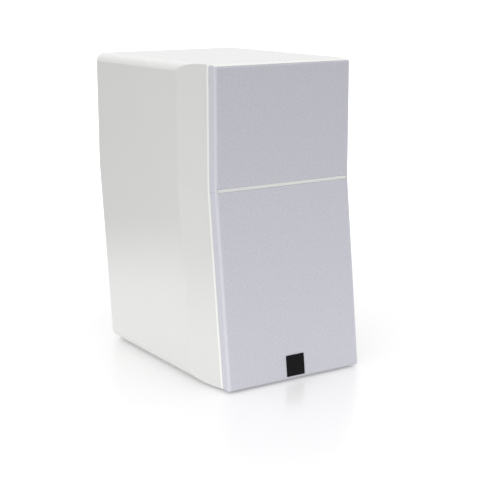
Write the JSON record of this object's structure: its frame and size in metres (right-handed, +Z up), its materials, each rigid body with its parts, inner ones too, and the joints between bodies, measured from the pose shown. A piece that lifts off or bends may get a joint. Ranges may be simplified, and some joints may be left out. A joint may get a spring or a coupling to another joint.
{
  "type": "bookshelf speaker",
  "caption": "Two-way bookshelf loudspeaker with a bent-sided gloss cabinet, full-height cloth grille, cone woofer, dome tweeter, rear port and screw terminals.",
  "frame": {"origin": "on the shelf, at the middle of the outline seen from above", "axes": "+Z up, the grille faces -Y, +X to the right of someone facing the grille"},
  "size_m": [0.216, 0.3006, 0.38],
  "materials": {
    "cabinet_lacquer": "white high-gloss lacquer over fibreboard",
    "fibreboard": "raw medium-density fibreboard",
    "wadding": "loose polyester wadding",
    "foot_rubber": "matt soft rubber",
    "basket_metal": "satin black paint",
    "gasket": "matt black foam-backed ring",
    "surround_rubber": "satin black butyl rubber",
    "cone_metal": "satin anodised",
    "dome_metal": "bright anodised",
    "copper": "enamelled copper winding",
    "spider_cloth": "resin-treated woven cloth",
    "steel": "zinc plated",
    "ferrite": "dark sintered ferrite",
    "black_moulding": "fine satin grain",
    "gilt_brass": "gold plated",
    "red_knob": "clear moulded gloss",
    "black_knob": "moulded gloss",
    "circuit_board": "green solder mask",
    "capacitor_sleeve": "heat-shrunk film sleeve",
    "cable": "soft insulation",
    "grille_cloth": "pale lavender-grey open knit",
    "bar_plastic": "white satin gloss",
    "badge_plastic": "blank black square"
  },
  "bodies": {
    "cabinet": {"side_left": "cabinet_lacquer", "side_right": "cabinet_lacquer", "top_panel": "cabinet_lacquer", "bottom_panel": "cabinet_lacquer", "front_baffle": "cabinet_lacquer", "rear_panel": "cabinet_lacquer", "window_brace": "fibreboard", "wadding_left": "wadding", "wadding_right": "wadding", "wadding_top": "wadding", "foot_front_left": "foot_rubber", "foot_front_right": "foot_rubber", "foot_rear_left": "foot_rubber", "foot_rear_right": "foot_rubber", "woofer_basket": "basket_metal", "woofer_gasket_ring": "gasket", "woofer_surround": "surround_rubber", "tweeter_surround": "surround_rubber", "crossover_inductor_large": "copper", "crossover_inductor_small": "copper", "woofer_spider": "spider_cloth", "woofer_top_plate": "steel", "woofer_yoke": "steel", "tweeter_top_plate": "steel", "tweeter_yoke": "steel", "woofer_magnet": "ferrite", "tweeter_magnet": "ferrite", "tweeter_waveguide": "black_moulding", "tweeter_rear_chamber": "black_moulding", "port_tube": "black_moulding", "terminal_plate": "black_moulding", "post_hf_positive": "gilt_brass", "post_hf_negative": "gilt_brass", "post_lf_positive": "gilt_brass", "post_lf_negative": "gilt_brass", "link_positive": "gilt_brass", "link_negative": "gilt_brass", "crossover_board": "circuit_board", "crossover_capacitor_large": "capacitor_sleeve", "crossover_capacitor_small": "capacitor_sleeve", "woofer_lead": "cable", "tweeter_lead": "cable"},
    "grille": {"grille_frame": "black_moulding", "grille_cloth_upper": "grille_cloth", "grille_cloth_lower": "grille_cloth", "grille_bar": "bar_plastic", "grille_badge": "badge_plastic"},
    "woofer_moving": {"woofer_cone": "cone_metal", "woofer_dust_cap": "cone_metal", "woofer_voice_coil": "copper"},
    "tweeter_moving": {"tweeter_dome": "dome_metal", "tweeter_voice_coil": "copper"},
    "washer_hf_positive": {"washer_hf_positive": "gilt_brass"},
    "knob_hf_positive": {"knob_hf_positive": "red_knob"},
    "washer_hf_negative": {"washer_hf_negative": "gilt_brass"},
    "knob_hf_negative": {"knob_hf_negative": "black_knob"},
    "washer_lf_positive": {"washer_lf_positive": "gilt_brass"},
    "knob_lf_positive": {"knob_lf_positive": "red_knob"},
    "washer_lf_negative": {"washer_lf_negative": "gilt_brass"},
    "knob_lf_negative": {"knob_lf_negative": "black_knob"}
  },
  "joints": [
    {"name": "grille_pull", "type": "slide", "parent": "cabinet", "child": "grille", "axis": [0, -1, 0], "range_m": [0, 0.06]},
    {"name": "woofer_travel", "type": "slide", "parent": "cabinet", "child": "woofer_moving", "axis": [0, -0.9936, 0.1132], "range_m": [-0.005, 0.005], "stiffness_N_per_m": 1200, "deforming": ["woofer_surround", "woofer_spider"]},
    {"name": "tweeter_travel", "type": "slide", "parent": "cabinet", "child": "tweeter_moving", "axis": [0, -1, 0], "range_m": [-0.0004, 0.0004], "stiffness_N_per_m": 200, "deforming": ["tweeter_surround"]},
    {"name": "washer_hf_positive_slide", "type": "slide", "parent": "cabinet", "child": "washer_hf_positive", "axis": [0, 0.9936, -0.1132], "range_m": [0, 0.0037]},
    {"name": "knob_hf_positive_turn", "type": "hinge", "parent": "washer_hf_positive", "child": "knob_hf_positive", "pos_m": [0.019, 0.13247, 0.07991], "axis": [0, 0.9936, -0.1132], "range_deg": [0, 1080]},
    {"name": "washer_hf_negative_slide", "type": "slide", "parent": "cabinet", "child": "washer_hf_negative", "axis": [0, 0.9936, -0.1132], "range_m": [0, 0.0037]},
    {"name": "knob_hf_negative_turn", "type": "hinge", "parent": "washer_hf_negative", "child": "knob_hf_negative", "pos_m": [-0.019, 0.13247, 0.07991], "axis": [0, 0.9936, -0.1132], "range_deg": [0, 1080]},
    {"name": "washer_lf_positive_slide", "type": "slide", "parent": "cabinet", "child": "washer_lf_positive", "axis": [0, 0.9936, -0.1132], "range_m": [0, 0.0037]},
    {"name": "knob_lf_positive_turn", "type": "hinge", "parent": "washer_lf_positive", "child": "knob_lf_positive", "pos_m": [0.019, 0.1293, 0.05209], "axis": [0, 0.9936, -0.1132], "range_deg": [0, 1080]},
    {"name": "washer_lf_negative_slide", "type": "slide", "parent": "cabinet", "child": "washer_lf_negative", "axis": [0, 0.9936, -0.1132], "range_m": [0, 0.0037]},
    {"name": "knob_lf_negative_turn", "type": "hinge", "parent": "washer_lf_negative", "child": "knob_lf_negative", "pos_m": [-0.019, 0.1293, 0.05209], "axis": [0, 0.9936, -0.1132], "range_deg": [0, 1080]}
  ],
  "couplings": [
    {"joint": "knob_hf_positive_turn", "follows": "washer_hf_positive_slide", "rad_per_m": 5026.5},
    {"joint": "knob_hf_negative_turn", "follows": "washer_hf_negative_slide", "rad_per_m": 5026.5},
    {"joint": "knob_lf_positive_turn", "follows": "washer_lf_positive_slide", "rad_per_m": 5026.5},
    {"joint": "knob_lf_negative_turn", "follows": "washer_lf_negative_slide", "rad_per_m": 5026.5}
  ]
}
